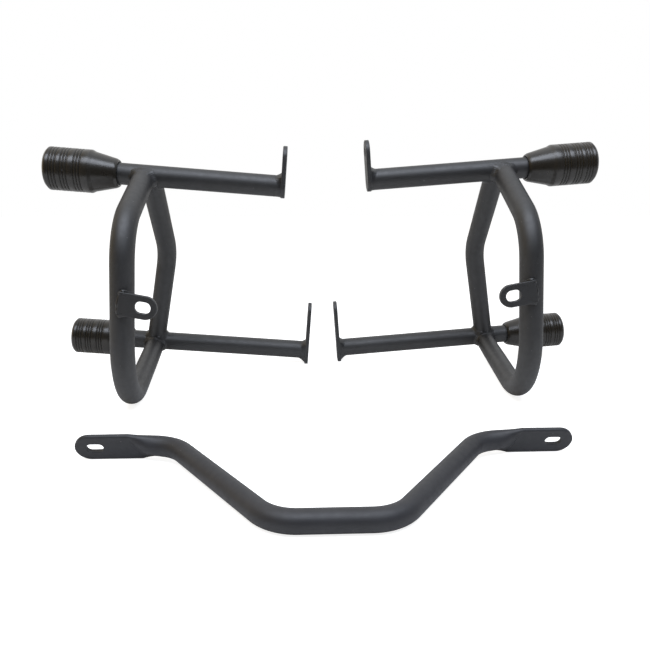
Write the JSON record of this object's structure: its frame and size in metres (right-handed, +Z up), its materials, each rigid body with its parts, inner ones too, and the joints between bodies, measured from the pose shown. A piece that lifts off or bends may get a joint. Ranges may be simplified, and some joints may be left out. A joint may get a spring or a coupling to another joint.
{
  "type": "motorcycle crash bars",
  "caption": "Set of black steel tube crash bars for a motorcycle: left and right guards with bent loops, mounting plates and turned slider pucks, and a bent cross bar with slotted flat ends.",
  "frame": {"origin": "centre of the set's footprint on the floor", "axes": "+Z up, -Y towards the cross bar in front, +X towards the right guard"},
  "size_m": [0.717, 0.5195, 0.3082],
  "materials": {
    "tube_coat": "satin",
    "plate_coat": "satin",
    "bar_coat": "satin",
    "puck": "satin",
    "fastener": "satin"
  },
  "bodies": {
    "root": {"left_upper_tube": "tube_coat", "left_lower_tube": "tube_coat", "left_front_loop": "tube_coat", "left_rear_brace": "tube_coat", "left_upper_plate": "plate_coat", "left_lower_plate": "plate_coat", "left_crossbar_tab": "plate_coat", "left_upper_puck": "puck", "left_lower_puck": "puck", "left_upper_puck_washer": "fastener", "left_lower_puck_washer": "fastener", "left_upper_puck_bolt": "fastener", "left_lower_puck_bolt": "fastener", "left_upper_tube_plug": "fastener", "left_lower_tube_plug": "fastener", "right_upper_tube": "tube_coat", "right_lower_tube": "tube_coat", "right_front_loop": "tube_coat", "right_rear_brace": "tube_coat", "right_upper_plate": "plate_coat", "right_lower_plate": "plate_coat", "right_crossbar_tab": "plate_coat", "right_upper_puck": "puck", "right_lower_puck": "puck", "right_upper_puck_washer": "fastener", "right_lower_puck_washer": "fastener", "right_upper_puck_bolt": "fastener", "right_lower_puck_bolt": "fastener", "right_upper_tube_plug": "fastener", "right_lower_tube_plug": "fastener", "cross_bar": "bar_coat"}
  },
  "joints": []
}
